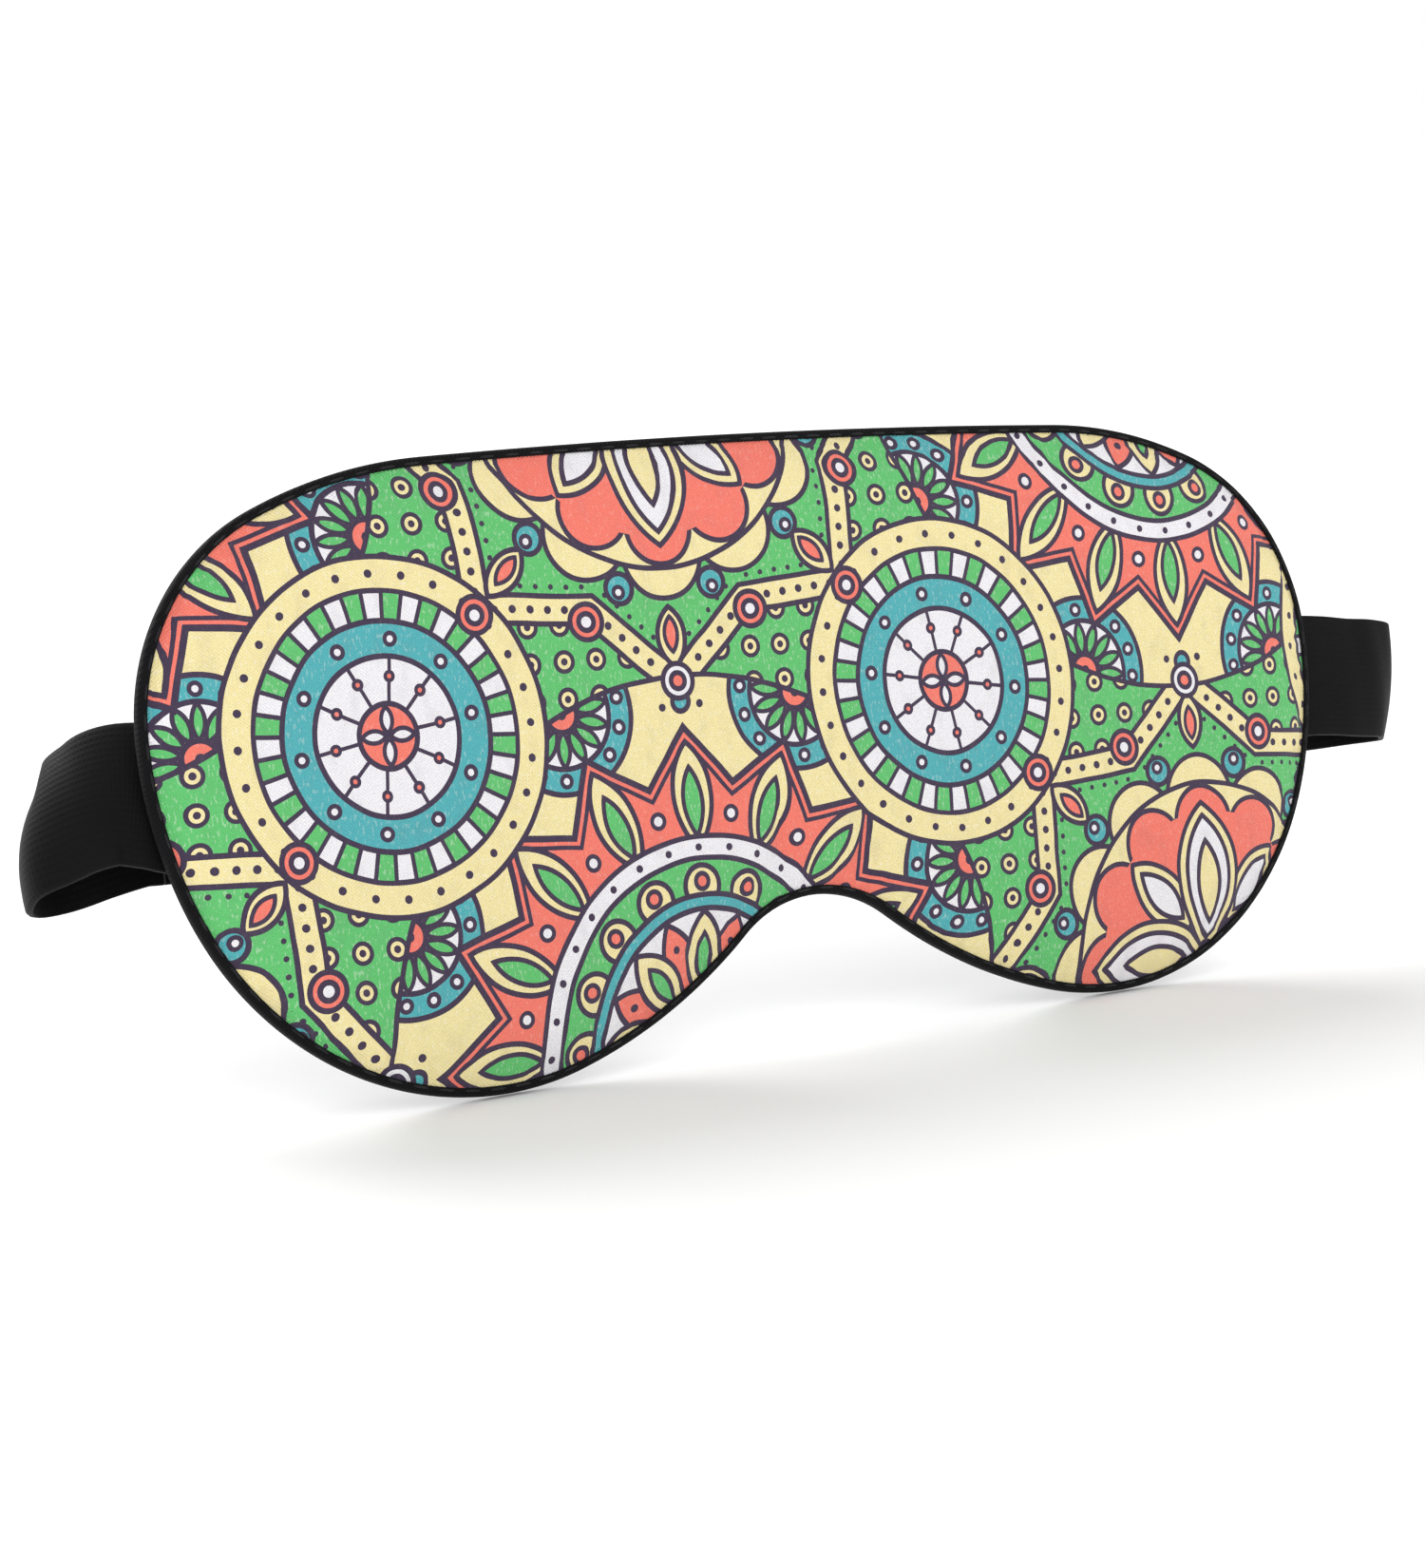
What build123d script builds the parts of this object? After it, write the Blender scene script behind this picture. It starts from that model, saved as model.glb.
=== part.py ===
from build123d import *
from math import cos, pi, radians, sin
import os

# Sleep mask: a padded, edge-bound panel that covers both eyes, with an elastic
# strap looped behind it and a slider that sets the strap's length.
#
# Mask frame, in which everything is drawn: x to the wearer's left as seen from
# the front (the viewer's right), y up the mask, z out of the printed face.
# z = 0 is the flat middle of the back lining, which rests against the face.
# The last step leans the mask back and stands it in the row frame, +Z up.

# ---- driving dimensions, mm ----
LEAN = 13.4  # degrees the mask leans back from upright

# Outline, right half, clockwise from the top centre: radius and swept angle of
# each tangent arc. The nose arc is worked out, so that the outline closes.
TOP_HEIGHT = 45.4
CONVEX_ARCS = [
    (1500.0, 2.15),  # top edge
    (74.0, 21.6),  # temple shoulder
    (33.0, 65.0),  # upper corner
    (61.5, 22.6),  # side, where the strap leaves
    (47.0, 84.4),  # cheek lobe
    (83.0, 23.0),  # flank towards the nose
]

# Padded section: levels of each layer at the stitched rim and in the middle.
SLOPE_START = 8.0  # inset from the rim where the padding begins to swell
SLOPE_END = 17.0  # inset where it is at full thickness
FRONT_FACE = (3.4, 5.3)  # (level at the rim, level in the middle)
PADDING_FRONT = (3.0, 4.9)
PADDING_BACK = (2.1, 0.7)
LINER_BACK = (1.8, 0.4)
BACK_FACE = (1.4, 0.0)

# Edge binding: a tape folded over the rim.
BINDING_THICK = 0.6
BINDING_LIP = 2.4  # width seen from the front
CUT_OVERSHOOT = 1.0  # how far the cut inside the lip passes the tape's faces

# Thread.
STITCH_PITCH = 4.0
STITCH_LENGTH = 3.0
THREAD = 0.35
STITCH_HEIGHT = 0.2
STITCH_INSET = 1.6
TACK_STITCHES = 14
TACK_PITCH = 1.15
TACK_SLANT = 25.0  # degrees, one stitch up and the next down
TACK_WIDTH = 2.0
TACK_INSET = 3.2  # from the end of the sewn-down strap

# Strap webbing.
STRAP_WIDTH = 20.0
STRAP_THICK = 1.0
SEAM_X = 94.6  # inner end of the strap, sewn on the back of the rim
LEFT_LOOP_X = 110.2  # centre of the left side loop's turn, the one nearer the rim
RIGHT_LOOP_X = 120.6  # centre of the right side loop's turn
LOOP_RADIUS = 7.8  # centreline radius of both turns

# Ring, of round bar.
RING_BAR = 2.6
RING_X = 62.0
RING_LENGTH = 10.0  # between bar centres
RING_CORNER = 1.6
SIDE_CLEARANCE = 0.5  # each side of the strap, in the ring and in the slider

# Slider: outer bars behind the strap, centre bar in front of it.
SLIDER_X = 6.0
SLIDER_LENGTH = 23.0
OUTER_BAR = 2.8
CENTRE_BAR = 3.0
RAIL = 2.0
BAR_THICK = 1.4
SLIDER_BACK_THICK = 1.7
STRAP_GAP = 0.2  # between the strap and the slider's bars
EDGE_ROUND = 0.5
WINDOW_CORNER = 1.0

# Folded strap ends.
END_LENGTH = 11.0  # strap end folded round the slider's centre bar
TAB_END_LENGTH = 17.0  # tab folded round the ring
FOLD_GAP = 0.1  # between sewn-down layers, and round the ring's bars

# ---- levels worked out from them ----
STRAP_START_Z = BACK_FACE[0] - BINDING_THICK - STRAP_THICK / 2
REAR_Z = STRAP_START_Z - 2 * LOOP_RADIUS
RING_FOLD_RADIUS = (RING_BAR + STRAP_THICK) / 2 + FOLD_GAP
RING_Z = REAR_Z + RING_FOLD_RADIUS
RETURN_Z = RING_Z + RING_FOLD_RADIUS
BAR_NEAR_Z = RETURN_Z - STRAP_THICK / 2
WRAP_RADIUS = (BAR_THICK + STRAP_THICK) / 2
RING_LEFT_X = RING_X - RING_LENGTH / 2
RING_RIGHT_X = RING_X + RING_LENGTH / 2


# ---- outline ----
def outline_arcs():
    """Right half of the outline as (centre x, centre y, radius, start, end, side).

    start and end are headings in radians; side is 1 on a convex arc, -1 on the nose.
    """
    arcs = []
    x, y, heading = 0.0, TOP_HEIGHT, 0.0
    for radius, sweep in CONVEX_ARCS:
        centre_x, centre_y = x + radius * sin(heading), y - radius * cos(heading)
        end = heading - radians(sweep)
        arcs.append((centre_x, centre_y, radius, heading, end, 1))
        x, y, heading = centre_x - radius * sin(end), centre_y + radius * cos(end), end
    turn = -heading - pi
    radius = x / sin(turn)
    centre_x, centre_y = x - radius * sin(heading), y + radius * cos(heading)
    arcs.append((centre_x, centre_y, radius, heading, heading + turn, -1))
    return arcs


def arc_point(arc, share, inset):
    """The point that far along an arc, moved into the mask by inset."""
    centre_x, centre_y, radius, start, end, side = arc
    heading = start + share * (end - start)
    reach = side * (radius - side * inset)
    return centre_x - reach * sin(heading), centre_y + reach * cos(heading)


def mask_outline(inset=0.0):
    """Closed outline of the mask, clockwise, moved in from the rim by inset."""
    top, *rest = outline_arcs()
    nose = rest.pop()
    right = [[arc_point(arc, share, inset) for share in (0, 0.5, 1)] for arc in rest]
    left = [[(-x, y) for x, y in reversed(points)] for points in reversed(right)]
    top_right, crown = arc_point(top, 1, inset), arc_point(top, 0, inset)
    flank, bridge = arc_point(nose, 0, inset), arc_point(nose, 1, inset)
    over_top = [(-top_right[0], top_right[1]), crown, top_right]
    under_nose = [flank, bridge, (-flank[0], flank[1])]
    return Wire([ThreePointArc(*points) for points in [over_top, *right, under_nose, *left]])


def slab(inset, low, high):
    """Flat plate of the mask's outline between two levels."""
    face = Face(mask_outline(inset))
    return extrude(Pos(0, 0, low) * face, amount=high - low, dir=(0, 0, 1))


def swell(rim_level, middle_level):
    """Padding's rise from the rim's level to the middle's, forwards or back."""
    ends = [(rim_level, SLOPE_START), (middle_level, SLOPE_END)]
    low, high = [Pos(0, 0, level) * Face(mask_outline(inset)) for level, inset in sorted(ends)]
    return loft([low, high], ruled=True)


# ---- mask layers ----
def front_panel():
    rim = slab(BINDING_THICK, PADDING_FRONT[0], FRONT_FACE[0])
    return rim + swell(*FRONT_FACE) - swell(*PADDING_FRONT)


def padding():
    rim = slab(BINDING_THICK, PADDING_BACK[0], PADDING_FRONT[0])
    return rim + swell(*PADDING_FRONT) + swell(*PADDING_BACK)


def blackout_liner():
    rim = slab(BINDING_THICK, LINER_BACK[0], PADDING_BACK[0])
    return rim + swell(*LINER_BACK) - swell(*PADDING_BACK)


def back_panel():
    rim = slab(BINDING_THICK, BACK_FACE[0], LINER_BACK[0])
    return rim + swell(*BACK_FACE) - swell(*LINER_BACK)


def edge_binding():
    low, high = BACK_FACE[0] - BINDING_THICK, FRONT_FACE[0] + BINDING_THICK
    tape = slab(0, low, high) - slab(BINDING_LIP, low - CUT_OVERSHOOT, high + CUT_OVERSHOOT)
    return tape - slab(BINDING_THICK, BACK_FACE[0], FRONT_FACE[0])


# ---- thread ----
def stitch(x, y, angle, level, length=STITCH_LENGTH):
    """One stitch: a short flat bar of thread, lying at angle from the x axis."""
    bar = Box(length, THREAD, STITCH_HEIGHT)
    return Pos(x, y, level) * Rot(0, 0, angle) * bar


def binding_stitches():
    """Lockstitch round the binding, seen on its front lip and on its back lip."""
    line = mask_outline(STITCH_INSET)
    count = round(line.length / STITCH_PITCH)
    front = FRONT_FACE[0] + BINDING_THICK + STITCH_HEIGHT / 2
    back = BACK_FACE[0] - BINDING_THICK - STITCH_HEIGHT / 2
    stitches = []
    for i in range(count):
        share = (i + 0.5) / count
        spot, along = line.position_at(share), line.tangent_at(share)
        angle = Vector(1, 0, 0).get_signed_angle(along, Vector(0, 0, 1))
        stitches.append(stitch(spot.X, spot.Y, angle, front))
        under_strap = abs(spot.Y) < STRAP_WIDTH / 2 + STITCH_LENGTH / 2 and abs(spot.X) > SEAM_X
        if not under_strap:
            stitches.append(stitch(spot.X, spot.Y, angle, back))
    return stitches


def bar_tack(x, level):
    """Zigzag across the strap: slanted stitches, each a little above the last."""
    lowest = -(TACK_STITCHES - 1) / 2 * TACK_PITCH
    return [
        stitch(x, lowest + i * TACK_PITCH, TACK_SLANT * (-1) ** i, level, TACK_WIDTH)
        for i in range(TACK_STITCHES)
    ]


# ---- strap ----
def webbing(path):
    """Strap of the full width along a path drawn in the x-z plane."""
    start = path @ 0
    section = Plane(origin=start, x_dir=(0, 1, 0), z_dir=path % 0) * Rectangle(
        STRAP_WIDTH, STRAP_THICK
    )
    return sweep(section, path=path)


def run(x1, z1, x2, z2):
    return Line((x1, 0, z1), (x2, 0, z2))


def half_turn(x, z, radius, side, near_first=True):
    """Half circle from one strap level to the other, bulging to side (-1 or 1)."""
    near, far = (x, 0, z + radius), (x, 0, z - radius)
    ends = (near, far) if near_first else (far, near)
    return ThreePointArc(ends[0], (x + side * radius, 0, z), ends[1])


def side_loop(side, reach):
    """Strap from its seam on the rim, out, round and back behind the mask."""
    straight = run(side * SEAM_X, STRAP_START_Z, side * reach, STRAP_START_Z)
    turn = half_turn(side * reach, STRAP_START_Z - LOOP_RADIUS, LOOP_RADIUS, side)
    return webbing(Wire([straight, turn]))


def strap_rear_run():
    """Strap behind the head, and its fold round the ring's left bar."""
    straight = run(-LEFT_LOOP_X, REAR_Z, RING_LEFT_X, REAR_Z)
    fold = half_turn(RING_LEFT_X, RING_Z, RING_FOLD_RADIUS, 1, near_first=False)
    return webbing(Wire([straight, fold]))


def strap_return():
    """Strap on its way back from the ring to the slider, in front of the rear run."""
    return webbing(Wire([run(SLIDER_X + END_LENGTH, RETURN_Z, RING_LEFT_X, RETURN_Z)]))


def strap_end():
    """Strap's end, folded round the slider's centre bar and sewn down on itself."""
    left = SLIDER_X - CENTRE_BAR / 2 + WRAP_RADIUS / 2
    far = RETURN_Z - 2 * WRAP_RADIUS
    sewn = RETURN_Z - STRAP_THICK - FOLD_GAP
    right = SLIDER_X + END_LENGTH
    inner = run(right, RETURN_Z, left, RETURN_Z)
    fold = half_turn(left, RETURN_Z - WRAP_RADIUS, WRAP_RADIUS, -1)
    over_bar = run(left, far, SLIDER_X + CENTRE_BAR, far)
    ramp = run(SLIDER_X + CENTRE_BAR, far, SLIDER_X + 2 * CENTRE_BAR, sewn)
    end = run(SLIDER_X + 2 * CENTRE_BAR, sewn, right, sewn)
    return webbing(Wire([inner])) + webbing(Wire([fold, over_bar])) + webbing_bend([ramp, end])


def webbing_bend(runs):
    """Strap over a shallow bend, mitred at its corners."""
    points = [runs[0] @ 0] + [one @ 1 for one in runs]
    half = STRAP_THICK / 2
    upper = [(p.X, p.Z + half) for p in points]
    lower = [(p.X, p.Z - half) for p in reversed(points)]
    side = Plane.XZ * make_face(Polyline(*upper, *lower, close=True))
    return extrude(side, amount=STRAP_WIDTH / 2, both=True)


def tab_end():
    """Short tab from the right side loop to the ring, folded round its right bar."""
    inner = RETURN_Z
    sewn = REAR_Z + STRAP_THICK + FOLD_GAP
    flat = RING_RIGHT_X + RING_BAR
    ramp_end = flat + 2 * RING_BAR
    tail = RING_RIGHT_X + TAB_END_LENGTH
    straight = run(RIGHT_LOOP_X, REAR_Z, RING_RIGHT_X, REAR_Z)
    fold = half_turn(RING_RIGHT_X, RING_Z, RING_FOLD_RADIUS, -1, near_first=False)
    back = run(RING_RIGHT_X, inner, flat, inner)
    ramp = run(flat, inner, ramp_end, sewn)
    end = run(ramp_end, sewn, tail, sewn)
    return webbing(Wire([straight, fold, back])) + webbing_bend([ramp, end])


# ---- ring and slider ----
def adjuster_ring():
    """Rounded rectangular ring of round bar."""
    width = STRAP_WIDTH + 2 * SIDE_CLEARANCE + RING_BAR
    centreline = Pos(RING_X, 0, RING_Z) * RectangleRounded(RING_LENGTH, width, RING_CORNER)
    path = centreline.face().outer_wire()
    section = Plane(origin=path @ 0, z_dir=path % 0) * Circle(RING_BAR / 2)
    return sweep(section, path=path)


def adjuster_slider():
    """Three-bar slider: side rails, two outer bars and a centre bar nearer the mask."""
    window = STRAP_WIDTH + 2 * SIDE_CLEARANCE
    width = window + 2 * RAIL
    back_top = REAR_Z - STRAP_THICK / 2 - STRAP_GAP
    back_low = back_top - SLIDER_BACK_THICK
    frame = RectangleRounded(SLIDER_LENGTH, width, RAIL)
    opening = RectangleRounded(SLIDER_LENGTH - 2 * OUTER_BAR, window, WINDOW_CORNER)
    plate = extrude(Pos(0, 0, back_low) * (frame - opening), amount=SLIDER_BACK_THICK, dir=(0, 0, 1))
    plate = fillet(plate.edges().filter_by(Plane.XY), EDGE_ROUND)
    rail_y = (window + RAIL) / 2
    lift = BAR_NEAR_Z - back_top
    body = plate
    for side in (-1, 1):
        post = Box(CENTRE_BAR + 2 * RAIL, RAIL, lift, align=(Align.CENTER, Align.CENTER, Align.MIN))
        post = fillet(post.edges().filter_by(Axis.Y), EDGE_ROUND)
        body += Pos(0, side * rail_y, back_top - EDGE_ROUND / 2) * post
    bar = Box(CENTRE_BAR - 2 * EDGE_ROUND, width, BAR_THICK)
    bar = fillet(bar.edges().filter_by(Axis.Y), EDGE_ROUND)
    body += Pos(0, 0, BAR_NEAR_Z - BAR_THICK / 2) * bar
    return Pos(SLIDER_X, 0, 0) * body


# ---- into the row frame ----
UPRIGHT = Plane(
    origin=(0, 0, 0),
    x_dir=(1, 0, 0),
    z_dir=(0, -cos(radians(LEAN)), sin(radians(LEAN))),
)

# Levels of the thread on the strap: on its back at the seams and on the tab, and
# on the face towards the mask at the slider.
seam_thread = STRAP_START_Z - (STRAP_THICK + STITCH_HEIGHT) / 2
tab_thread = REAR_Z - (STRAP_THICK + STITCH_HEIGHT) / 2
end_thread = RETURN_Z + (STRAP_THICK + STITCH_HEIGHT) / 2
seam_tack_x = SEAM_X + TACK_INSET

nodes = {
    "front_panel": front_panel(),
    "padding": padding(),
    "blackout_liner": blackout_liner(),
    "back_panel": back_panel(),
    "edge_binding": edge_binding(),
    "binding_stitches": binding_stitches(),
    "strap_left_loop": side_loop(-1, LEFT_LOOP_X),
    "strap_rear_run": strap_rear_run(),
    "strap_return": strap_return(),
    "strap_end": strap_end(),
    "tab_right_loop": side_loop(1, RIGHT_LOOP_X),
    "tab_end": tab_end(),
    "adjuster_ring": adjuster_ring(),
    "adjuster_slider": adjuster_slider(),
    "left_bar_tack": bar_tack(-seam_tack_x, seam_thread),
    "right_bar_tack": bar_tack(seam_tack_x, seam_thread),
    "slider_tack": bar_tack(SLIDER_X + END_LENGTH - TACK_INSET, end_thread),
    "tab_tack": bar_tack(RING_RIGHT_X + TAB_END_LENGTH - TACK_INSET, tab_thread),
}

os.makedirs("parts", exist_ok=True)
for name, shape in nodes.items():
    solids = shape if isinstance(shape, list) else shape.solids()
    placed = [solid.moved(UPRIGHT.location) for solid in solids]
    node = Compound(placed) if len(placed) > 1 else placed[0]
    node.label = name
    export_step(node, f"parts/{name}.step")

width = mask_outline().bounding_box().size
print(f"mask {width.X:.1f} x {width.Y:.1f} mm, outline {mask_outline().length:.1f} mm")
between_turns = LEFT_LOOP_X + RIGHT_LOOP_X
rear_strap = 2 * between_turns + 2 * pi * LOOP_RADIUS - 2 * SEAM_X
print(f"strap loop from seam to seam {rear_strap:.0f} mm")
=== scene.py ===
from math import atan2, ceil, cos, pi, radians, sin, sqrt

import bpy
import numpy as np
from mathutils import Matrix, Vector, noise
from mathutils.geometry import delaunay_2d_cdt


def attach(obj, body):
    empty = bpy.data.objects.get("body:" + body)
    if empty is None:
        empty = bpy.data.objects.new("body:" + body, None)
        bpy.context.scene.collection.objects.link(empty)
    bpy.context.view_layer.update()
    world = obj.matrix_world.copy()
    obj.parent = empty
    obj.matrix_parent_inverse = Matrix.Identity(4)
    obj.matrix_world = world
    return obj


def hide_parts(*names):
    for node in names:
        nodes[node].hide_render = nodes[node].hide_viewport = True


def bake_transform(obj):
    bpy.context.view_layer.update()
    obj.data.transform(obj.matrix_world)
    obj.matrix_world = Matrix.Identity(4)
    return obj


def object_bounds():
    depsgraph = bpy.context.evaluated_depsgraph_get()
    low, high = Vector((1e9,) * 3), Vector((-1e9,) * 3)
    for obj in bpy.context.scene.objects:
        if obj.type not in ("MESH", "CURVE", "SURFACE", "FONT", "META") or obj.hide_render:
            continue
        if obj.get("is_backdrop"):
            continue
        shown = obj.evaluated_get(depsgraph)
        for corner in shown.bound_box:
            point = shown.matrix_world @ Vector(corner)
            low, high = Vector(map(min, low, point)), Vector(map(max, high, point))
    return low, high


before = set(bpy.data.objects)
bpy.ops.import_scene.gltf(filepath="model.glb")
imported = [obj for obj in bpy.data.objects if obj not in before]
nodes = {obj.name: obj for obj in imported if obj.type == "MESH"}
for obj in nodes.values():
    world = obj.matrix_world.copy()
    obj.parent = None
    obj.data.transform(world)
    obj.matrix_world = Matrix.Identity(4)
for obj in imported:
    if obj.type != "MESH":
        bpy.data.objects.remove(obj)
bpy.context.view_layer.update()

# Sleep mask. Shapes are worked out in the mask's own frame, in millimetres: x to
# the right, y up the mask, z out of the printed face, z = 0 on the flat middle of
# the lining. place() leans it back into the row frame, in metres.
MM = 0.001
LEAN = radians(13.4)

# ---- driving sizes, mm ----
TOP_HEIGHT = 45.4
CONVEX_ARCS = [
    (1500.0, 2.15),
    (74.0, 21.6),
    (33.0, 65.0),
    (61.5, 22.6),
    (47.0, 84.4),
    (83.0, 23.0),
]
FRONT_FACE = (3.1, 5.3)  # (level where the tape pinches the rim, level in the middle)
PADDING_FRONT = (2.85, 4.9)
PADDING_BACK = (2.15, 0.7)
LINER_BACK = (1.95, 0.4)
BACK_FACE = (1.7, 0.0)
LAYER_GAP = 0.03  # between layers that lie on each other
RIM = 0.6  # the layers end this far inside the outline
SWELL_START, SWELL_END, SWELL_CURVE = 1.6, 17.0, 2.3
HOLLOW_DEPTH, HOLLOW_SPAN = 0.22, 24.0  # slight lasting hollows of the padded front
BINDING_LIP = 1.35
STITCH_INSET = 0.95
STITCH_PITCH, STITCH_LENGTH, THREAD, STITCH_SINK = 4.0, 2.7, 0.3, 0.12
CLEAR_OF_STRAP = 1.5  # the back's stitches stop this far from the strap

STRAP_WIDTH, STRAP_THICK = 20.0, 1.0
SEAM_X, LOOP_RADIUS = 94.6, 7.8
START_Z = 0.3  # the webbing's level at its seams; levels are those of its middle
REAR_Z = START_Z - 2 * LOOP_RADIUS
RING_BAR, RING_FOLD = 2.6, 1.9
FOLD_GAP = 0.1  # between webbing folded back and what it is sewn to
RING_Z = REAR_Z + RING_FOLD
RETURN_Z = RING_Z + RING_FOLD
RING_LEFT_X, RING_RIGHT_X = 57.0, 67.0
SLIDER_X, CENTRE_BAR, WRAP_RADIUS, END_LENGTH = 6.0, 3.0, 1.2, 11.0
TAB_END_LENGTH = 17.0
TACK_STITCHES, TACK_PITCH, TACK_SLANT, TACK_WIDTH, TACK_INSET = 14, 1.15, 25.0, 2.0, 3.2


def place(points):
    """Points of the mask's frame, in mm, as points of the row frame, in metres."""
    p = np.asarray(points, float)
    x, y, z = p[..., 0], p[..., 1], p[..., 2]
    leaned = [x, y * sin(LEAN) - z * cos(LEAN), y * cos(LEAN) + z * sin(LEAN)]
    return np.stack(leaned, -1) * MM


def smooth(t):
    t = np.clip(t, 0, 1)
    return t * t * (3 - 2 * t)


def travel_along(spots):
    """How far along the line through the spots each of them is."""
    return np.concatenate([[0], np.cumsum(np.linalg.norm(np.diff(spots, axis=0), axis=1))])


def new_mesh(name, points, faces, material):
    mesh = bpy.data.meshes.new(name)
    mesh.from_pydata([tuple(p) for p in points], [], faces)
    mesh.materials.append(material)
    mesh.polygons.foreach_set("use_smooth", [True] * len(mesh.polygons))
    mesh.update()
    piece = bpy.data.objects.new(name, mesh)
    bpy.context.scene.collection.objects.link(piece)
    return piece


# ---------------------------------------------------------------- shader sums
class Number:
    """A number in a material. Arithmetic on it adds Math nodes."""

    def __init__(self, tree, socket):
        self.tree, self.socket = tree, socket

    def math(self, operation, *others):
        node = self.tree.nodes.new("ShaderNodeMath")
        node.operation = operation
        for slot, value in zip(node.inputs, (self, *others)):
            if isinstance(value, Number):
                self.tree.links.new(value.socket, slot)
            else:
                slot.default_value = value
        return Number(self.tree, node.outputs[0])

    def __add__(self, other):
        return self.math("ADD", other)

    def __sub__(self, other):
        return self.math("SUBTRACT", other)

    def __mul__(self, other):
        return self.math("MULTIPLY", other)

    def __truediv__(self, other):
        return self.math("DIVIDE", other)

    def __lt__(self, other):
        return self.math("LESS_THAN", other)

    def __abs__(self):
        return self.math("ABSOLUTE")

    def least(self, other):
        return self.math("MINIMUM", other)

    def most(self, other):
        return self.math("MAXIMUM", other)

    def wrapped(self):
        """Distance to the nearest whole number, with its sign."""
        return self - self.math("ROUND")

    def sine(self):
        return self.math("SINE")


def length(x, y):
    return (x * x + y * y).math("SQRT")


def colour(hex_code):
    """A screen colour as the linear numbers that shaders take."""
    parts = [int(hex_code[i : i + 2], 16) / 255 for i in (0, 2, 4)]
    return [p / 12.92 if p <= 0.04045 else ((p + 0.055) / 1.055) ** 2.4 for p in parts] + [1.0]


def new_material(name, roughness, sheen=0.0, specular=0.4):
    material = bpy.data.materials.new(name)
    material.use_nodes = True
    shader = material.node_tree.nodes["Principled BSDF"]
    shader.inputs["Roughness"].default_value = roughness
    shader.inputs["Sheen Weight"].default_value = sheen
    shader.inputs["Sheen Roughness"].default_value = 0.5
    shader.inputs["Specular IOR Level"].default_value = specular
    return material, material.node_tree, shader


def texture_place(tree, which):
    node = tree.nodes.new("ShaderNodeTexCoord")
    split = tree.nodes.new("ShaderNodeSeparateXYZ")
    tree.links.new(node.outputs[which], split.inputs[0])
    return [Number(tree, socket) for socket in split.outputs]


def mask_place(tree):
    """x, y and z of the mask's frame, in mm, wherever the piece is."""
    x, y, z = texture_place(tree, "Object")
    up = y * (sin(LEAN) / MM) + z * (cos(LEAN) / MM)
    out = z * (sin(LEAN) / MM) - y * (cos(LEAN) / MM)
    return x / MM, up, out


def mottle(tree, x, y, z, x_scale, y_scale, z_scale=1.0, detail=2.0):
    """Noise from 0 to 1 over a place, with the cells that many per mm each way."""
    join = tree.nodes.new("ShaderNodeCombineXYZ")
    for slot, value, scale in zip(join.inputs, (x, y, z), (x_scale, y_scale, z_scale)):
        tree.links.new((value * scale).socket, slot)
    node = tree.nodes.new("ShaderNodeTexNoise")
    node.inputs["Scale"].default_value = 1.0
    node.inputs["Detail"].default_value = detail
    tree.links.new(join.outputs[0], node.inputs["Vector"])
    return Number(tree, node.outputs[0])


def mix(tree, first, second, share):
    """second over first. Each is a colour or a colour socket, share a Number."""
    node = tree.nodes.new("ShaderNodeMix")
    node.data_type = "RGBA"
    tree.links.new(share.socket, node.inputs[0])
    for slot, value in ((node.inputs[6], first), (node.inputs[7], second)):
        if isinstance(value, (list, tuple)):
            slot.default_value = value
        else:
            tree.links.new(value, slot)
    return node.outputs[2]


def bump(tree, shader, height, depth):
    node = tree.nodes.new("ShaderNodeBump")
    node.inputs["Strength"].default_value = 1.0
    node.inputs["Distance"].default_value = depth * MM
    tree.links.new(height.socket, node.inputs["Height"])
    tree.links.new(node.outputs[0], shader.inputs["Normal"])


# ------------------------------------------------------------------ the print
INK, CORAL, CREAM = colour("43374D"), colour("F37C6C"), colour("F0E1A6")
GREEN, TEAL, WHITE = colour("62C170"), colour("52AEB4"), colour("ECEAEE")
TILE = 94.4  # from a rosette's centre to the next flower's, mm
ROSETTE = (-20.9, -41.3)  # one rosette's centre on the mask, mm
LINE = 0.0042  # half the width of a drawn line, in tiles
DRIFT = 0.006  # how far the woven cloth pulls the drawing out of line, in tiles


class Drawing:
    """Flat shapes drawn over each other. A shape is its distance field, below 0 inside."""

    def __init__(self, tree, ground):
        self.tree, self.top = tree, ground

    def fill(self, shape, paint):
        self.top = mix(self.tree, self.top, paint, shape < 0.0)

    def line(self, shape, half=LINE):
        self.top = mix(self.tree, self.top, INK, abs(shape) < half)

    def draw(self, shape, paint, half=LINE):
        self.fill(shape, paint)
        self.line(shape, half)


def fan(x, y, count, shift=0.0):
    """Folds a place into one of count equal sectors, mirrored about its middle.

    Returns the place along and across that sector's axis, and the distance out.
    """
    out = length(x, y)
    turn = y.math("ARCTAN2", x) * (count / (2 * pi)) + shift
    angle = abs(turn.wrapped()) * (2 * pi / count)
    return out * angle.math("COSINE"), out * angle.sine(), out


def disc(along, across, middle, radius):
    return length(along - middle, across) - radius


def leaf(along, across, middle, half_length, half_width):
    """Pointed petal between two arcs."""
    radius = (half_length**2 + half_width**2) / (2 * half_width)
    return length(along - middle, across + (radius - half_width)) - radius


def zigzag(along, across, count, tip, valley):
    """Star, as how far a place is outside it and how far along its side from the tip."""
    valley_x, valley_y = valley * cos(pi / count), valley * sin(pi / count)
    side = sqrt((tip - valley_x) ** 2 + valley_y**2)
    rise, run = valley_y / side, (tip - valley_x) / side
    return (along - tip) * rise + across * run, across * rise - (along - tip) * run


def beads(away, travel, depth, pitch, radius):
    """Row of round dots that runs at one depth inside an edge."""
    return length((travel / pitch - 0.5).wrapped() * pitch, away + depth) - radius


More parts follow.
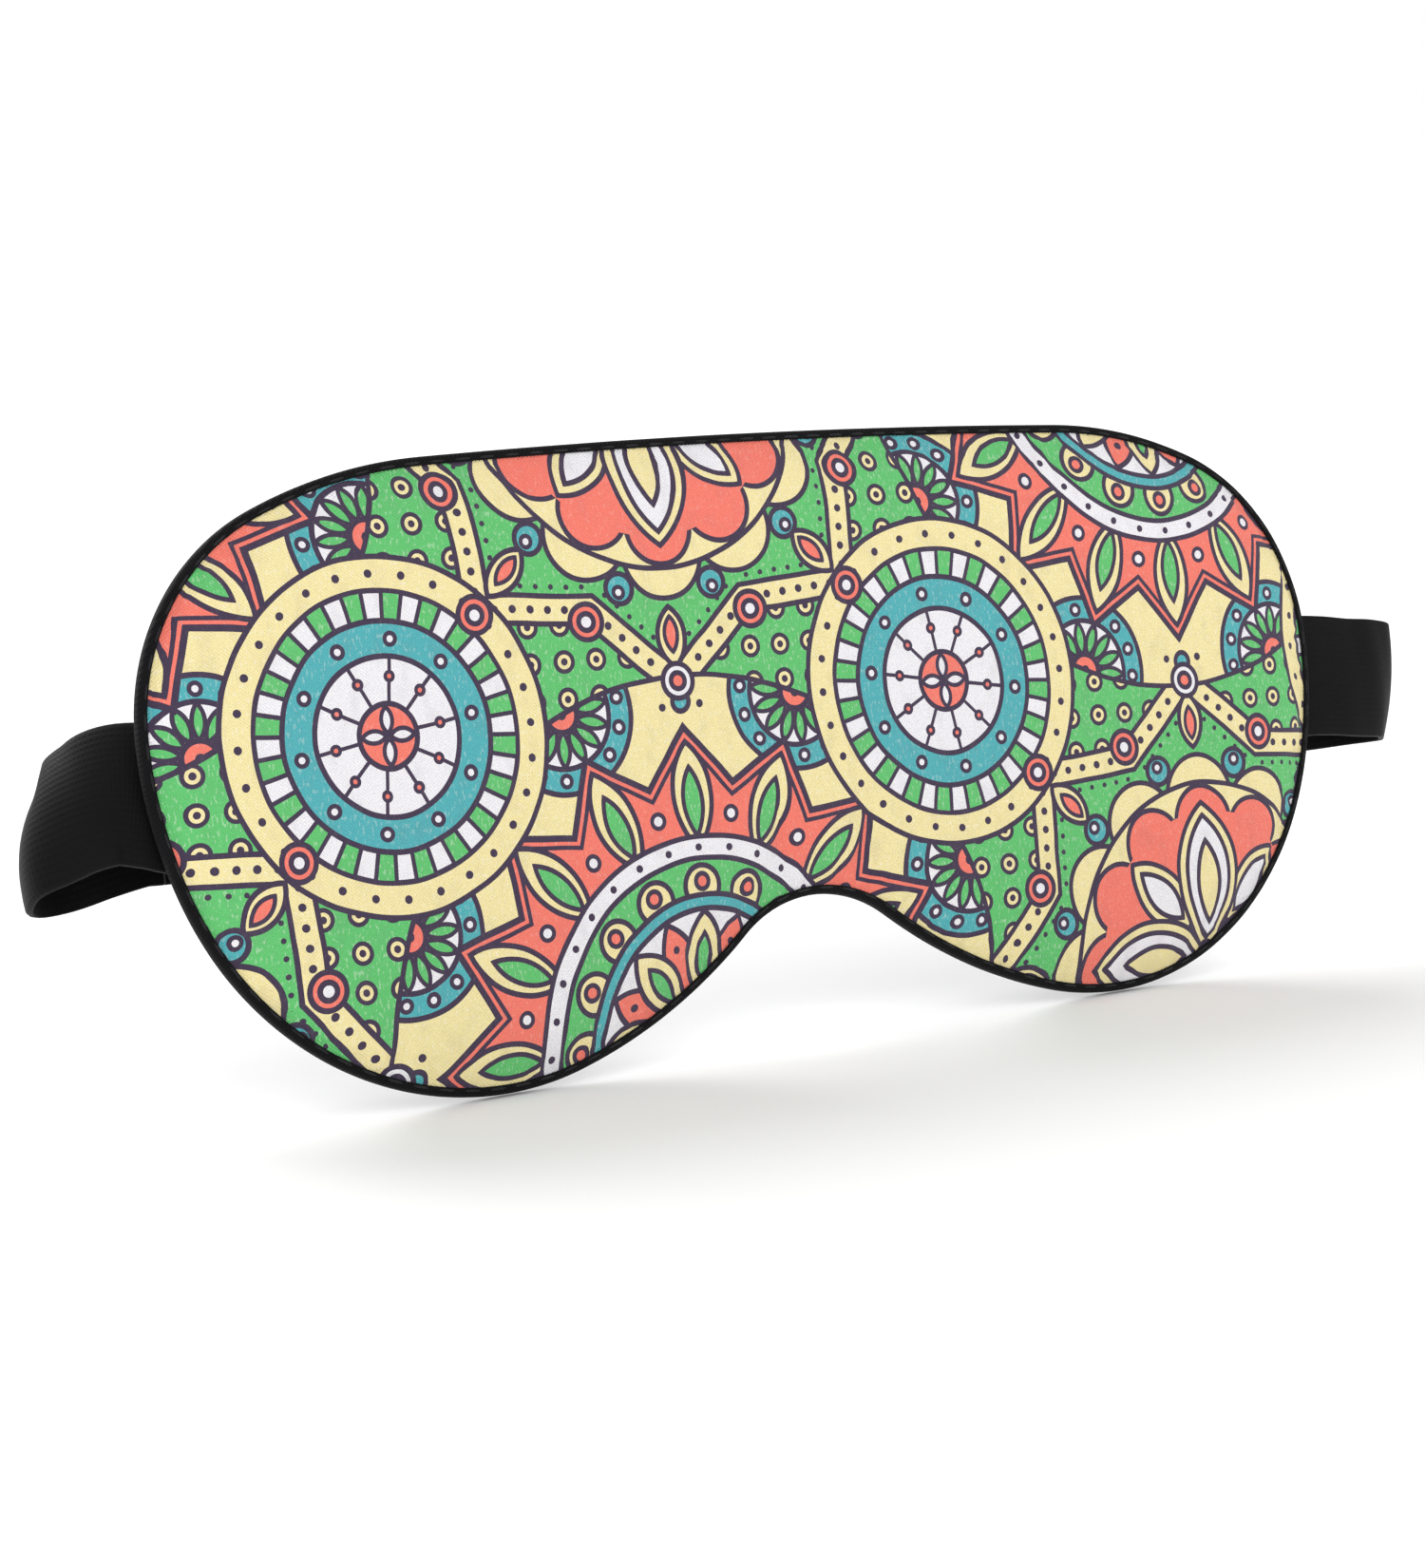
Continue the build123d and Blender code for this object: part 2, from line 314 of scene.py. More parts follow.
def draw_spoked(art, x, y, radius, count):
    """Wheel: striped rim, beaded band, white face with spokes and beads, coral hub."""
    _, across, out = fan(x, y, count)
    stripe = (across - out * (pi / 2 / count)).most(out - radius)
    art.draw(out - radius, WHITE)
    art.draw(stripe, GREEN, LINE * 0.8)
    art.draw(out - radius * 0.79, TEAL)
    spoke_along, spoke_across, _ = fan(x, y, count / 2, 0.5)
    art.draw(disc(spoke_along, spoke_across, radius * 0.67, radius * 0.04), WHITE, LINE * 0.8)
    art.draw(out - radius * 0.55, WHITE)
    art.line(spoke_across.most(abs(out - radius * 0.38) - radius * 0.17), LINE * 0.7)
    art.draw(disc(spoke_along, spoke_across, radius * 0.41, radius * 0.03), CORAL, LINE * 0.7)
    art.draw(out - radius * 0.22, CORAL)


def draw_wheel(art, x, y):
    """Full wheel halfway between two rosettes, in a ribbon of dark dots."""
    along, across, out = fan(x, y, 28, 0.5)
    art.draw(out - 0.262, CREAM)
    art.fill(disc(along, across, 0.237, 0.0062), INK)
    draw_spoked(art, x, y, 0.212, 20)
    along, across, _ = fan(x, y, 4, 0.5)
    art.draw(leaf(along, across, 0.023, 0.019, 0.009), WHITE, LINE * 0.8)


def draw_flower(art, x, y):
    """Four-petalled flower on a scalloped disc, in a dotted field inside a zigzag."""
    along, across, out = fan(x, y, 8)
    away, travel = zigzag(along, across, 8, 0.492, 0.392)
    art.draw(away, CREAM)
    art.fill(beads(away, travel, 0.021, 0.03, 0.0062), INK)
    art.draw(away + 0.042, GREEN)
    art.fill(beads(away + 0.042, travel, 0.014, 0.026, 0.0042), INK)
    art.draw(leaf(along, across, 0.392, 0.046, 0.024), CREAM)
    art.draw(leaf(along, across, 0.388, 0.027, 0.0115), CORAL, LINE * 0.8)
    scallop_along, scallop_across, _ = fan(x, y, 12)
    gap_along, gap_across, _ = fan(x, y, 12, 0.5)
    art.draw(disc(gap_along, gap_across, 0.324, 0.023), TEAL)
    art.draw(disc(gap_along, gap_across, 0.33, 0.0085), WHITE, LINE * 0.8)
    art.draw(disc(scallop_along, scallop_across, 0.263, 0.07), CREAM)
    art.draw(out - 0.286, CREAM)
    art.draw(disc(scallop_along, scallop_across, 0.222, 0.058), CORAL)
    art.fill(out - 0.238, CORAL)
    petal_along, petal_across, _ = fan(x, y, 4)
    side_along, side_across, _ = fan(x, y, 4, 0.5)
    art.draw(leaf(side_along, side_across, 0.15, 0.082, 0.042), CREAM)
    art.draw(leaf(side_along, side_across, 0.15, 0.058, 0.024), WHITE)
    art.draw(leaf(petal_along, petal_across, 0.128, 0.124, 0.066), CREAM)
    art.draw(leaf(petal_along, petal_across, 0.128, 0.103, 0.047), WHITE)
    art.draw(leaf(petal_along, petal_across, 0.12, 0.068, 0.024), CREAM)
    art.draw(out - 0.018, TEAL)


def draw_daisy(art, x, y):
    """Small daisy on a beaded disc."""
    along, across, out = fan(x, y, 14)
    art.draw(out - 0.12, TEAL)
    art.draw(disc(along, across, 0.1, 0.0085), WHITE, LINE * 0.8)
    art.draw(out - 0.082, WHITE)
    art.draw(leaf(along, across, 0.053, 0.027, 0.0095), GREEN, LINE * 0.8)
    art.draw(out - 0.026, CORAL)
    art.fill(out - 0.008, INK)


def draw_rosette(art, x, y):
    """Sixteen-pointed rosette with half daisies round its border."""
    along, across, out = fan(x, y, 16)
    gap_along, gap_across, _ = fan(x, y, 16, 0.5)
    border = out - 0.548
    art.draw(border, CREAM)
    daisies = Drawing(art.tree, art.top)
    eighth_along, eighth_across, _ = fan(x, y, 8, 0.5)
    draw_daisy(daisies, eighth_along - 0.548, eighth_across)
    art.top = mix(art.tree, art.top, daisies.top, border < -LINE)
    axis_along, axis_across, _ = fan(x, y, 8)
    art.draw(disc(axis_along, axis_across, 0.508, 0.0145), TEAL)
    art.fill(disc(axis_along, abs(axis_across) - 0.034, 0.502, 0.0062), INK)
    away, _ = zigzag(along, across, 16, 0.47, 0.385)
    art.draw(away, CORAL, LINE * 1.2)
    art.line(away + 0.014, LINE * 0.8)
    art.draw(leaf(along, across, 0.365, 0.082, 0.034), CREAM)
    art.draw(leaf(along, across, 0.355, 0.052, 0.017), GREEN, LINE * 0.9)
    art.draw(disc(gap_along, gap_across, 0.337, 0.0105), WHITE, LINE * 0.8)
    art.draw(out - 0.302, WHITE)
    bead_along, bead_across, _ = fan(x, y, 32)
    art.fill(disc(bead_along, bead_across, 0.285, 0.0058), INK)
    art.draw(out - 0.268, GREEN)
    art.draw(disc(along, across, 0.226, 0.031), CREAM)
    art.draw(disc(along, across, 0.233, 0.0115), CORAL, LINE * 0.9)
    art.draw(out - 0.213, TEAL)
    art.draw(out - 0.192, WHITE)
    petal_along, petal_across, _ = fan(x, y, 8)
    side_along, side_across, _ = fan(x, y, 8, 0.5)
    art.draw(leaf(side_along, side_across, 0.122, 0.066, 0.031), CORAL)
    art.draw(leaf(petal_along, petal_across, 0.122, 0.066, 0.034), CREAM)
    art.draw(leaf(petal_along, petal_across, 0.118, 0.038, 0.014), GREEN, LINE * 0.9)
    art.fill(disc(side_along, side_across, 0.147, 0.0062), INK)
    art.draw(out - 0.064, TEAL)
    art.fill(disc(bead_along, bead_across, 0.05, LINE * 0.6), INK)
    art.draw(out - 0.038, CREAM)
    art.draw(out - 0.017, CORAL)


def draw_studs(art, x, y):
    """Ringed studs where the ribbons meet."""
    for middle_x, middle_y, ring, heart in (
        (0.54, 0.0, WHITE, CORAL),
        (0.6405, 0.148, CORAL, WHITE),
        (0.665, 0.335, CORAL, WHITE),
    ):
        away = length(x - middle_x, y - middle_y)
        art.draw(away - 0.027, ring)
        art.draw(away - 0.0125, heart)


def ornament(tree, x, y):
    """The whole print: rosettes, flowers and wheels on a square lattice."""
    drift = mottle(tree, x, y, x, 0.11, 0.11, 0.0, 1.0) - 0.5
    sway = mottle(tree, y, x, y, 0.1, 0.1, 0.0, 1.0) - 0.5
    u = (x - ROSETTE[0]) / TILE + drift * DRIFT
    v = (y - ROSETTE[1]) / TILE + sway * DRIFT
    half_sum, half_gap = ((u + v) * 0.5).wrapped(), ((u - v) * 0.5).wrapped()
    one, other = abs(half_sum + half_gap), abs(half_sum - half_gap)
    far, near = one.most(other), one.least(other)
    art = Drawing(tree, GREEN)
    rows = 18.0  # of small ringed discs, in a tile
    disc_x, disc_y = (far * rows + 0.5).wrapped(), (near * rows + 0.5).wrapped()
    art.draw((length(disc_x, disc_y) - 0.26) / rows, CREAM, LINE * 0.8)
    art.fill((length(disc_x, disc_y) - 0.1) / rows, INK)
    draw_flower(art, far * -1.0 + 1.0, near)
    draw_rosette(art, far, near)
    draw_wheel(art, (far + near - 1.0) * (-sqrt(0.5)), (far - near) * sqrt(0.5))
    draw_studs(art, far, near)
    return art.top


def printed_fabric():
    material, tree, shader = new_material("printed_fabric", 0.88, sheen=0.12, specular=0.25)
    x, y, z = mask_place(tree)
    picture = ornament(tree, x, y)
    # short vertical threads that the dye hasn't covered
    fleck = mottle(tree, x, y, z, 2.9, 1.0, 0.0, 1.0)
    bands = tree.nodes.new("ShaderNodeSeparateColor")
    tree.links.new(picture, bands.inputs[0])
    paleness = (Number(tree, bands.outputs[1]) * 1.6).least(1.0)
    share = ((fleck - 0.6) * 5.0).most(0.0).least(0.26) * paleness
    flecked = mix(tree, picture, colour("FBF8F0"), share)
    blotch = mottle(tree, x, y, z, 0.35, 0.2, 0.0, 3.0)
    worn = mix(tree, flecked, colour("6E6470"), ((blotch - 0.5) * 0.5).most(0.0).least(0.1))
    tree.links.new(worn, shader.inputs["Base Color"])
    warp_pitch, weft_pitch = 0.62, 0.5
    warp = (x * (2 * pi / warp_pitch)).sine()
    weft = (y * (2 * pi / weft_pitch)).sine()
    bump(tree, shader, warp * weft * 0.5 + fleck * 0.9, 0.11)
    return material


# ---------------------------------------------------------- plainer materials
def woven_black(name, dark, light, pitch, roughness, sheen, depth, weave=0.25):
    """Black cloth in the mask's frame: a fine plain weave with paler worn threads."""
    material, tree, shader = new_material(name, roughness, sheen, 0.12)
    x, y, z = mask_place(tree)
    warp = ((x + z * 0.7) * (2 * pi / pitch)).sine()
    weft = ((y + z * 0.7) * (2 * pi / pitch)).sine()
    fuzz = mottle(tree, x, y, z, 1.7, 1.7, 1.7, 3.0)
    wear = mottle(tree, x, y, z, 0.12, 0.12, 0.12, 3.0)
    share = (warp * weft * weave + fuzz * 0.6 + wear * 0.5 - 0.4).most(0.0).least(1.0)
    tree.links.new(mix(tree, colour(dark), colour(light), share), shader.inputs["Base Color"])
    tree.links.new((fuzz * 0.2 + (roughness - 0.1)).socket, shader.inputs["Roughness"])
    bump(tree, shader, warp * weft * (weave * 2) + fuzz, depth)
    return material


def webbing_material():
    """Knitted elastic: fine ribs along the strap, cross threads, soft fuzz."""
    material, tree, shader = new_material("black_elastic", 0.8, sheen=0.03, specular=0.09)
    across, along, _ = texture_place(tree, "UV")
    across, along = across * STRAP_WIDTH, along * STRAP_WIDTH
    rib_pitch, thread_pitch = 0.95, 0.55
    rib = (across * (2 * pi / rib_pitch)).sine()
    thread = ((along + rib * 0.09) * (2 * pi / thread_pitch)).sine()
    fuzz = mottle(tree, across, along, across, 2.2, 2.2, 0.0, 3.0)
    wear = mottle(tree, across, along, across, 0.16, 0.1, 0.0, 3.0)
    share = (rib * 0.07 + thread * 0.07 + fuzz * 0.5 + wear * 0.4 - 0.2).most(0.0).least(1.0)
    shade = mix(tree, colour("060606"), colour("131213"), share)
    tree.links.new(shade, shader.inputs["Base Color"])
    tree.links.new((fuzz * 0.2 + 0.5).socket, shader.inputs["Roughness"])
    bump(tree, shader, rib * 0.3 + thread * 0.25 + fuzz * 0.5, 0.035)
    return material


def moulded_plastic():
    """Black acetal: faint flow marks and fine handling scratches in the gloss."""
    material, tree, shader = new_material("black_acetal", 0.34, specular=0.5)
    x, y, z = mask_place(tree)
    grain = mottle(tree, x, y, z, 4.0, 4.0, 4.0, 4.0)
    flow = mottle(tree, x, y, z, 0.3, 0.12, 0.3, 2.0)
    scratch = mottle(tree, x, y, z, 0.3, 6.0, 3.0, 1.0)
    share = (flow * 0.7 + grain * 0.4 - 0.3).most(0.0).least(1.0)
    shade = mix(tree, colour("151517"), colour("29292D"), share)
    tree.links.new(shade, shader.inputs["Base Color"])
    tree.links.new((scratch * 0.25 + flow * 0.15 + 0.15).socket, shader.inputs["Roughness"])
    bump(tree, shader, grain * 0.5 + scratch * 0.5, 0.02)
    return material


def wadding_material():
    material, tree, shader = new_material("polyester_wadding", 0.95, sheen=0.4, specular=0.15)
    x, y, z = mask_place(tree)
    fibre = mottle(tree, x, y, z, 1.2, 0.5, 1.2, 5.0)
    shade = mix(tree, colour("D2D0C9"), colour("F6F4EF"), fibre)
    tree.links.new(shade, shader.inputs["Base Color"])
    bump(tree, shader, fibre, 0.3)
    return material


printed = printed_fabric()
lining = woven_black("black_lining", "1E1E21", "36353A", 0.8, 0.8, 0.15, 0.06, weave=0.1)
blackout = woven_black("blackout_cloth", "08080A", "17171A", 0.4, 0.7, 0.1, 0.04)
binding_tape = woven_black("binding_tape", "08080A", "1B1A1D", 0.7, 0.8, 0.03, 0.1)
thread_black = woven_black("black_thread", "1A1A1C", "3A393E", 0.3, 0.6, 0.1, 0.05)
elastic = webbing_material()
acetal = moulded_plastic()
wadding = wadding_material()


# --------------------------------------------------------------- the outline
def outline_arcs():
    """Right half of the outline, clockwise from the top centre: each tangent arc as
    (centre x, centre y, radius, start heading, end heading, 1 convex or -1 hollow)."""
    arcs = []
    x, y, heading = 0.0, TOP_HEIGHT, 0.0
    for radius, sweep in CONVEX_ARCS:
        centre_x, centre_y = x + radius * sin(heading), y - radius * cos(heading)
        end = heading - radians(sweep)
        arcs.append((centre_x, centre_y, radius, heading, end, 1))
        x, y, heading = centre_x - radius * sin(end), centre_y + radius * cos(end), end
    turn = -heading - pi
    radius = x / sin(turn)
    centre_x, centre_y = x - radius * sin(heading), y + radius * cos(heading)
    arcs.append((centre_x, centre_y, radius, heading, heading + turn, -1))
    return arcs


ARCS = outline_arcs()


def outline(inset=0.0, step=1.3):
    """Closed outline, clockwise, moved in by inset. The same count at every inset."""
    right = []
    for centre_x, centre_y, radius, start, end, side in ARCS:
        count = max(2, ceil(abs(end - start) * radius / step))
        for i in range(count):
            heading = start + (end - start) * i / count
            reach = side * (radius - side * inset)
            right.append((centre_x - reach * sin(heading), centre_y + reach * cos(heading)))
    centre_x, centre_y, radius, _, _, _ = ARCS[-1]
    right.append((0.0, centre_y + radius + inset))
    left = [(-x, y) for x, y in reversed(right[1:-1])]
    return np.array(right + left)


def distance_in(points):
    """How far each point is from the outline."""
    rim = outline(0.0, 0.5)
    ends = np.roll(rim, -1, 0)
    step = ends - rim
    away = points[:, None, :] - rim[None]
    share = (away * step).sum(2) / (step**2).sum(1)
    nearest = away - np.clip(share, 0, 1)[..., None] * step
    return np.sqrt((nearest**2).sum(2)).min(1)


def flat_cut():
    """Triangles that fill the outline inside the binding: rings, then an even grid."""
    rings = [RIM, 1.3, 2.1, 3.0, 4.0, 5.1, 6.3, 7.7, 9.2, 10.9, 12.7, 14.6]
    grid_step, clear_of_rings = 1.9, 1.2
    points = [outline(inset) for inset in rings]
    across, up = np.meshgrid(np.arange(-100, 100, grid_step), np.arange(-44, 46, grid_step))
    across = across + (np.arange(across.shape[0]) % 2)[:, None] * grid_step / 2
    grid = np.stack([across.ravel(), up.ravel()], 1)
    grid = grid[inside(grid) & (distance_in(grid) > rings[-1] + clear_of_rings)]
    every = [Vector(p) for p in np.concatenate([*points, grid])]
    rim = list(range(len(points[0]) - 1, -1, -1))
    flat, _, faces, *_ = delaunay_2d_cdt(every, [], [rim], 1, 1e-5)
    return np.array([tuple(p) for p in flat]), faces


def inside(points):
    rim = outline(0.0)
    ends = np.roll(rim, -1, 0)
    x, y = points[:, 0, None], points[:, 1, None]
    crosses = (rim[:, 1] > y) != (ends[:, 1] > y)
    rise = np.where(ends[:, 1] == rim[:, 1], 1e-9, ends[:, 1] - rim[:, 1])
    at_x = rim[:, 0] + (y - rim[:, 1]) / rise * (ends[:, 0] - rim[:, 0])
    return (crosses & (x < at_x)).sum(1) % 2 == 1


def swell_at(inset):
    """How far the layers have swelled at this inset, from 0 at the rim to 1."""
    reach = np.clip((inset - SWELL_START) / (SWELL_END - SWELL_START), 0, 1)
    return 1 - (1 - reach) ** SWELL_CURVE


FLAT, TRIANGLES = flat_cut()
INSET = distance_in(FLAT)
swell = swell_at(INSET)


# -------------------------------------------------------------- padded layers
def puckered(levels, pressure, shrink):
    """How far each point moves in a cloth simulation, in mm, no more than the cap.

    The rim is sewn down and the rest is slack. The cloth is made ten times life
    size, which suits the solver.
    """
    scale, frames = 10 * MM, 20
    pinned, free = 1.6, 3.2  # insets: held up to the first, free from the second
    cap = 0.9
    mesh = bpy.data.meshes.new("slack_cloth")
    start = np.column_stack([FLAT, levels])
    mesh.from_pydata([tuple(p) for p in start * scale], [], TRIANGLES)
    cloth = bpy.data.objects.new("slack_cloth", mesh)
    bpy.context.scene.collection.objects.link(cloth)
    sewn = cloth.vertex_groups.new(name="sewn")
    for i, inset in enumerate(INSET):
        sewn.add([i], float(1 - smooth((inset - pinned) / (free - pinned))), "REPLACE")
    modifier = cloth.modifiers.new("cloth", "CLOTH")
    settings = modifier.settings
    settings.quality = 6
    settings.mass = 0.3
    settings.tension_stiffness = settings.compression_stiffness = 12
    settings.shear_stiffness = 8
    settings.bending_stiffness = 0.6
    settings.shrink_min = shrink
    settings.use_pressure = True
    settings.uniform_pressure_force = pressure
    settings.vertex_group_mass = "sewn"
    settings.effector_weights.gravity = 0
    scene = bpy.context.scene
    for number in range(1, frames + 1):
        scene.frame_set(number)
    bpy.context.view_layer.update()
    shape = cloth.evaluated_get(bpy.context.evaluated_depsgraph_get())
    moved = np.array([v.co[:] for v in shape.data.vertices]) / scale - start
    scene.frame_set(1)
    bpy.data.objects.remove(cloth)
    size = np.linalg.norm(moved, axis=1)
    moved *= (cap * np.tanh(size / cap) / np.maximum(size, 1e-9))[:, None]
    return moved


def levels_of(pair):
    return pair[0] + (pair[1] - pair[0]) * swell


def layer(name, front, back, material, front_moves=0.0, back_moves=0.0):
    """Closed piece between two levels, with its rim as a narrow wall."""
    front_points = np.column_stack([FLAT, front]) + front_moves
    back_points = np.column_stack([FLAT, back]) + back_moves
    count = len(FLAT)
    faces = [tuple(f) for f in TRIANGLES]
    faces += [tuple(i + count for i in reversed(f)) for f in TRIANGLES]
    sides = [side for f in TRIANGLES for side in zip(f, (*f[1:], f[0]))]
    known = set(sides)
    faces += [(j, i, i + count, j + count) for i, j in sides if (j, i) not in known]
    return new_mesh(name, place(np.concatenate([front_points, back_points])), faces, material)


pucker = puckered(levels_of(FRONT_FACE), pressure=2.5, shrink=-0.035)
uneven = [noise.noise(Vector((x / HOLLOW_SPAN, y / HOLLOW_SPAN, 3.0))) for x, y in FLAT]
hollows = HOLLOW_DEPTH * np.array(uneven) * smooth((INSET - 3) / 10)
front_level = levels_of(FRONT_FACE) + hollows
pad_level = levels_of(PADDING_FRONT) + hollows
front = layer("printed_front", front_level, pad_level + LAYER_GAP, printed, pucker, pucker)
pad_back, liner_back = levels_of(PADDING_BACK), levels_of(LINER_BACK)
pad = layer("wadding_pad", pad_level - LAYER_GAP, pad_back + LAYER_GAP, wadding, pucker)
liner = layer("blackout_sheet", pad_back - LAYER_GAP, liner_back + LAYER_GAP, blackout)
back = layer("back_lining", liner_back - LAYER_GAP, levels_of(BACK_FACE), lining)

cut = outline(RIM)
for piece, node, slot_name in (
    (front, "front_panel", "printed_fabric"),
    (liner, "blackout_liner", "liner"),
    (back, "back_panel", "lining"),
):
    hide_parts(node)
    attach(piece, "mask")
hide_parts("padding")
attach(pad, "mask")


# -------------------------------------------------------------- edge binding
TAPE_PLY, TAPE_RISE = 0.2, 0.45
BACK_LIP = 2.6  # the side that lies against the face takes the wider half
FRONT_HEM, BACK_HEM = 0.65, 1.95  # raw edges turned under each lip
TAPE_TURN = [(0.9, 0.0), (0.6, 0.03), (0.34, 0.16), (0.18, 0.38), (0.12, 0.65)]  # (inset, drop)
WAVER, WAVER_SPAN = 0.07, 7.0  # how far the tape wavers, and over what length


def half_tape(lip, hem):
    """Middle line from a raw edge, round the lip's fold, to the rim, as (inset,
    height above the mask's middle level)."""
    top = (FRONT_FACE[0] - BACK_FACE[0]) / 2 + TAPE_RISE
    outer, inner = top - TAPE_PLY / 2, top - TAPE_PLY * 1.6
    fold, fold_level = (outer - inner) / 2, (outer + inner) / 2
    line = [(lip - hem + (hem - 2 * TAPE_PLY) * i / 3, inner) for i in range(3)]
    for i in range(5):
        bend = -pi / 2 + pi * i / 4
        line.append((lip - TAPE_PLY + fold * cos(bend), fold_level + fold * sin(bend)))
    if lip > 2:
        line.append(((lip - TAPE_PLY + TAPE_TURN[0][0]) / 2, outer))
    return line + [(inset, outer - drop) for inset, drop in TAPE_TURN]


def tape_section():
    """Double-fold tape across the rim, as a closed loop of (inset, level)."""
    middle = (FRONT_FACE[0] + BACK_FACE[0]) / 2
    back_half, front_half = half_tape(BACK_LIP, BACK_HEM), half_tape(BINDING_LIP, FRONT_HEM)
    line = [(inset, middle - height - lining_drop(inset)) for inset, height in back_half]
    line = np.array(line + [(inset, middle + height) for inset, height in reversed(front_half)])
    ahead = np.gradient(line, axis=0)
    ahead /= np.linalg.norm(ahead, axis=1)[:, None]
    side = np.column_stack([-ahead[:, 1], ahead[:, 0]]) * TAPE_PLY / 2
    return np.concatenate([line + side, (line - side)[::-1]])


def lining_drop(inset):
    """How much lower the lining is at this inset than where the tape pinches it."""
    return (BACK_FACE[0] - BACK_FACE[1]) * float(swell_at(np.array(inset)))


def edge_binding():
    section = tape_section()
    rings = []
    for inset, level in section:
        ring = outline(inset, 1.0)
        waver = [noise.noise(Vector((x / WAVER_SPAN, y / WAVER_SPAN, 0))) * WAVER for x, y in ring]
        rings.append(np.column_stack([ring, level + np.array(waver)]))
    count = len(rings[0])
    faces = []
    for i in range(len(section)):
        for j in range(count):
            ahead = (j + 1) % count
            row, next_row = i * count, (i + 1) % len(section) * count
            faces.append((row + j, next_row + j, next_row + ahead, row + ahead))
    return new_mesh("edge_tape", place(np.concatenate(rings)), faces, binding_tape)


binding = edge_binding()
rim_line = outline(0.0)
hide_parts("edge_binding")
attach(binding, "mask")


# --------------------------------------------------------------------- thread
def stitch_mesh(places, name):
    """Rounded stitches that dip at both ends. Each place is (x, y, z, angle, length,
    1 on a face towards the front or -1 on one towards the back)."""
    steps, sides = 6, 6
    arch, thin = 0.45, 0.45  # a stitch's rise in its middle and girth at its ends, in threads
    points, faces = [], []
    for x, y, z, angle, size, side in places:
        first = len(points)
        for i in range(steps + 1):
            share = i / steps * 2 - 1
            rise = (1 - share**2) * THREAD * arch
            girth = THREAD / 2 * (thin + (1 - thin) * sqrt(max(0.0, 1 - share**4)))
            for k in range(sides):
                turn = 2 * pi * k / sides
                along, beside = share * size / 2, girth * cos(turn)
                points.append(
                    (
                        x + along * cos(angle) - beside * sin(angle),
                        y + along * sin(angle) + beside * cos(angle),
                        z + side * (rise + girth * sin(turn)),
                    )
                )
        for i in range(steps):
            for k in range(sides):
                a, b = first + i * sides + k, first + i * sides + (k + 1) % sides
                quad = (a, b, b + sides, a + sides)
                faces.append(quad if side > 0 else tuple(reversed(quad)))
        start_cap = tuple(first + k for k in range(sides))
        end_cap = tuple(first + steps * sides + k for k in range(sides))
        faces.append(tuple(reversed(start_cap)) if side > 0 else start_cap)
        faces.append(end_cap if side > 0 else tuple(reversed(end_cap)))
    return new_mesh(name, place(np.array(points)), faces, thread_black)


def binding_stitch_places():
    line = outline(STITCH_INSET, 0.5)
    closed = np.vstack([line, line[:1]])
    travelled = travel_along(closed)
    count = round(travelled[-1] / STITCH_PITCH)
    nearby = 0.5  # along the line, for its direction at a stitch
    places = []
    for i in range(count):
        middle = (i + 0.5) / count * travelled[-1]
        before, (x, y), after = (
            [np.interp(at, travelled, closed[:, axis]) for axis in (0, 1)]
            for at in (middle - nearby, middle, middle + nearby)
        )
        angle = atan2(after[1] - before[1], after[0] - before[0])
        places.append((x, y, FRONT_FACE[0] + TAPE_RISE - STITCH_SINK, angle, STITCH_LENGTH, 1))
        under_strap = abs(y) < STRAP_WIDTH / 2 + CLEAR_OF_STRAP and abs(x) > SEAM_X
        if not under_strap:
            places.append((x, y, BACK_FACE[0] - TAPE_RISE + STITCH_SINK, angle, STITCH_LENGTH, -1))
    return places


def tack_places(x, level, side):
    lowest = -(TACK_STITCHES - 1) / 2 * TACK_PITCH
    return [
        (x, lowest + i * TACK_PITCH, level, radians(TACK_SLANT) * (-1) ** i, TACK_WIDTH, side)
        for i in range(TACK_STITCHES)
    ]


half_strap = STRAP_THICK / 2
left_tacks = tack_places(-SEAM_X - TACK_INSET, START_Z - half_strap, -1)
right_tacks = tack_places(SEAM_X + TACK_INSET, START_Z - half_strap, -1)
end_tacks = tack_places(SLIDER_X + END_LENGTH - TACK_INSET, RETURN_Z + half_strap, 1)
tab_tacks = tack_places(RING_RIGHT_X + TAB_END_LENGTH - TACK_INSET, REAR_Z - half_strap, -1)
for name, node, places, body in (
    ("rim_stitches", "binding_stitches", binding_stitch_places(), "mask"),
    ("left_seam_tack", "left_bar_tack", left_tacks, "mask"),
    ("right_seam_tack", "right_bar_tack", right_tacks, "mask"),
    ("strap_end_tack", "slider_tack", end_tacks, "slider"),
    ("tab_end_tack", "tab_tack", tab_tacks, "rear_strap"),
):
    piece = stitch_mesh(places, name)
    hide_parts(node)
    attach(piece, body)


# ---------------------------------------------------------------------- strap
def spline(keys, count):
    """Even points on a smooth curve through the keys, each (x, y, z, tilt)."""
    keys = np.array(keys, float)
    padded_keys = np.vstack([2 * keys[0] - keys[1], keys, 2 * keys[-1] - keys[-2]])
    fine = []
    for i in range(len(keys) - 1):
        p0, p1, p2, p3 = padded_keys[i : i + 4]
        for t in np.linspace(0, 1, 24, endpoint=False):
            curve = 2 * p1 + (p2 - p0) * t + (2 * p0 - 5 * p1 + 4 * p2 - p3) * t**2
            fine.append((curve + (3 * p1 - p0 - 3 * p2 + p3) * t**3) / 2)
    fine = np.array([*fine, keys[-1]])
    travelled = travel_along(fine[:, :3])
    even = np.linspace(0, travelled[-1], count)
    return np.column_stack([np.interp(even, travelled, fine[:, k]) for k in range(4)])


